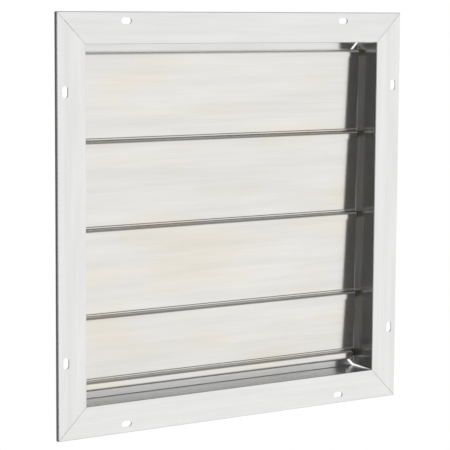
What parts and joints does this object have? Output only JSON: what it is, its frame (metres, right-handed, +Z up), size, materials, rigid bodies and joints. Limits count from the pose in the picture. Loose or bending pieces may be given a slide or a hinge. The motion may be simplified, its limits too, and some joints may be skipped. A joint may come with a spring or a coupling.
{
  "type": "gable shutter",
  "caption": "Square gravity shutter: mitred metal frame with a slotted screw flange and horizontal blades that swing open on end pins",
  "frame": {"origin": "centre of the flange's front face, which is the centre of the screw slots' pattern", "axes": "+X along the blades, to the right as seen from the flange side; +Y from the flange into the box; +Z up"},
  "size_m": [0.4572, 0.0381, 0.4572],
  "materials": {
    "frame_aluminium": "mill finish with fine grain along each strip",
    "blade_aluminium": "mill finish with fine grain along each blade",
    "key_aluminium": "plain stamped sheet",
    "pin_steel": "plated, dull",
    "bushing_nylon": "matt olive nylon"
  },
  "bodies": {
    "frame": {"frame_top": "frame_aluminium", "frame_bottom": "frame_aluminium", "frame_left": "frame_aluminium", "frame_right": "frame_aluminium", "corner_key_top_left": "key_aluminium", "corner_key_top_right": "key_aluminium", "corner_key_bottom_left": "key_aluminium", "corner_key_bottom_right": "key_aluminium", "sill_strip": "blade_aluminium", "sill_pin_left": "pin_steel", "sill_pin_right": "pin_steel", "sill_bushing_left": "bushing_nylon", "sill_bushing_right": "bushing_nylon", "bushing_1_left": "bushing_nylon", "bushing_1_right": "bushing_nylon", "bushing_2_left": "bushing_nylon", "bushing_2_right": "bushing_nylon", "bushing_3_left": "bushing_nylon", "bushing_3_right": "bushing_nylon", "bushing_4_left": "bushing_nylon", "bushing_4_right": "bushing_nylon"},
    "blade_1": {"blade_1": "blade_aluminium", "pin_1_left": "pin_steel", "pin_1_right": "pin_steel"},
    "blade_2": {"blade_2": "blade_aluminium", "pin_2_left": "pin_steel", "pin_2_right": "pin_steel"},
    "blade_3": {"blade_3": "blade_aluminium", "pin_3_left": "pin_steel", "pin_3_right": "pin_steel"},
    "blade_4": {"blade_4": "blade_aluminium", "pin_4_left": "pin_steel", "pin_4_right": "pin_steel"}
  },
  "joints": [
    {"name": "blade_1_swing", "type": "hinge", "parent": "frame", "child": "blade_1", "pos_m": [0, 0.0294, 0.1815], "axis": [-1, 0, 0], "range_deg": [0, 75]},
    {"name": "blade_2_swing", "type": "hinge", "parent": "frame", "child": "blade_2", "pos_m": [0, 0.0294, 0.0856], "axis": [-1, 0, 0], "range_deg": [0, 75]},
    {"name": "blade_3_swing", "type": "hinge", "parent": "frame", "child": "blade_3", "pos_m": [0, 0.0294, -0.0103], "axis": [-1, 0, 0], "range_deg": [0, 75]},
    {"name": "blade_4_swing", "type": "hinge", "parent": "frame", "child": "blade_4", "pos_m": [0, 0.0294, -0.1062], "axis": [-1, 0, 0], "range_deg": [0, 75]}
  ]
}
